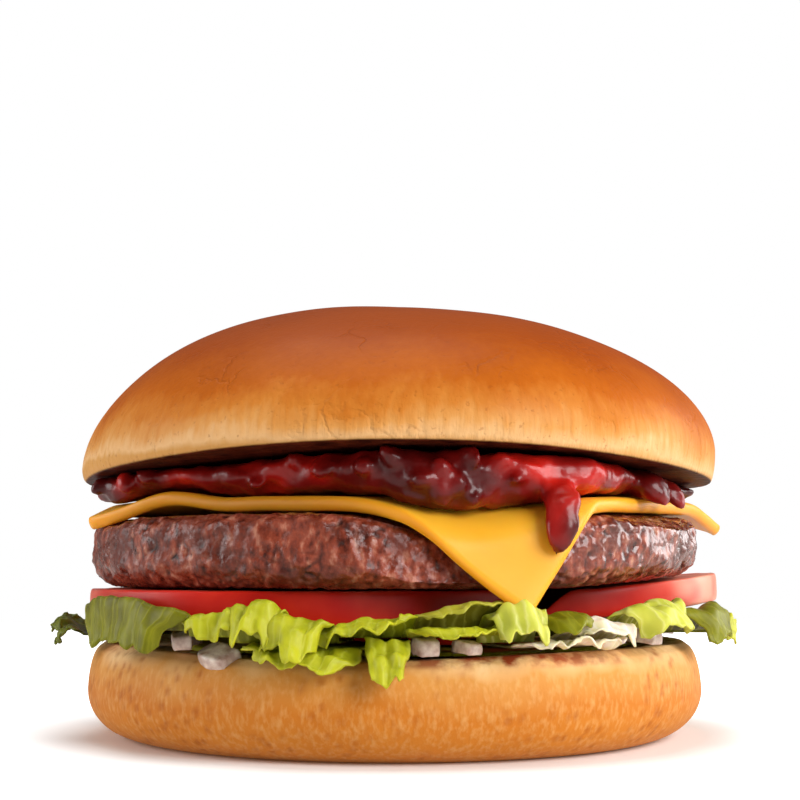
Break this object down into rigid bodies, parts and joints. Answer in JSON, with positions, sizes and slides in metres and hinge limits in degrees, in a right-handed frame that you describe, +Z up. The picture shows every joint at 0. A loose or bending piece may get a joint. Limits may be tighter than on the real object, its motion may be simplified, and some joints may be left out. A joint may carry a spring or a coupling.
{
  "type": "cheeseburger",
  "caption": "Cheeseburger in a round bun with a beef patty, a draped cheese slice, red chunky relish, tomato, lettuce and chopped onion.",
  "frame": {"origin": "middle of the flat base of the bun heel, on the surface the burger stands on", "axes": "+Z up through the layers, -Y towards the front, where the cheese corner hangs down, +X to the right seen from the front"},
  "size_m": [0.1178, 0.1123, 0.0721],
  "materials": {
    "bun_crust": "satin, baked golden brown crust",
    "beef": "grilled, moist, coarse",
    "cheese": "satin, slightly waxy",
    "relish": "wet, glossy",
    "tomato": "wet cut flesh and skin",
    "lettuce": "crisp, satin",
    "onion": "moist, translucent"
  },
  "bodies": {
    "root": {"bun_heel": "bun_crust", "tomato_slice_left": "tomato", "tomato_slice_right": "tomato", "beef_patty": "beef", "cheese_slice": "cheese", "relish": "relish", "bun_crown": "bun_crust", "lettuce_bed": "lettuce", "onion_1": "onion", "onion_2": "onion", "onion_3": "onion", "onion_4": "onion", "onion_5": "onion", "onion_6": "onion", "onion_7": "onion", "onion_8": "onion", "onion_9": "onion", "lettuce_leaf_1": "lettuce", "lettuce_leaf_2": "lettuce", "lettuce_leaf_3": "lettuce", "lettuce_leaf_4": "lettuce", "lettuce_leaf_5": "lettuce", "lettuce_leaf_6": "lettuce", "lettuce_leaf_7": "lettuce", "lettuce_leaf_8": "lettuce", "lettuce_leaf_9": "lettuce", "lettuce_leaf_10": "lettuce", "lettuce_leaf_11": "lettuce", "lettuce_leaf_12": "lettuce", "lettuce_leaf_13": "lettuce", "lettuce_leaf_14": "lettuce", "lettuce_leaf_15": "lettuce", "lettuce_leaf_16": "lettuce", "lettuce_leaf_17": "lettuce", "lettuce_leaf_18": "lettuce", "lettuce_leaf_19": "lettuce", "lettuce_leaf_20": "lettuce", "lettuce_leaf_21": "lettuce", "lettuce_leaf_22": "lettuce"}
  },
  "joints": []
}
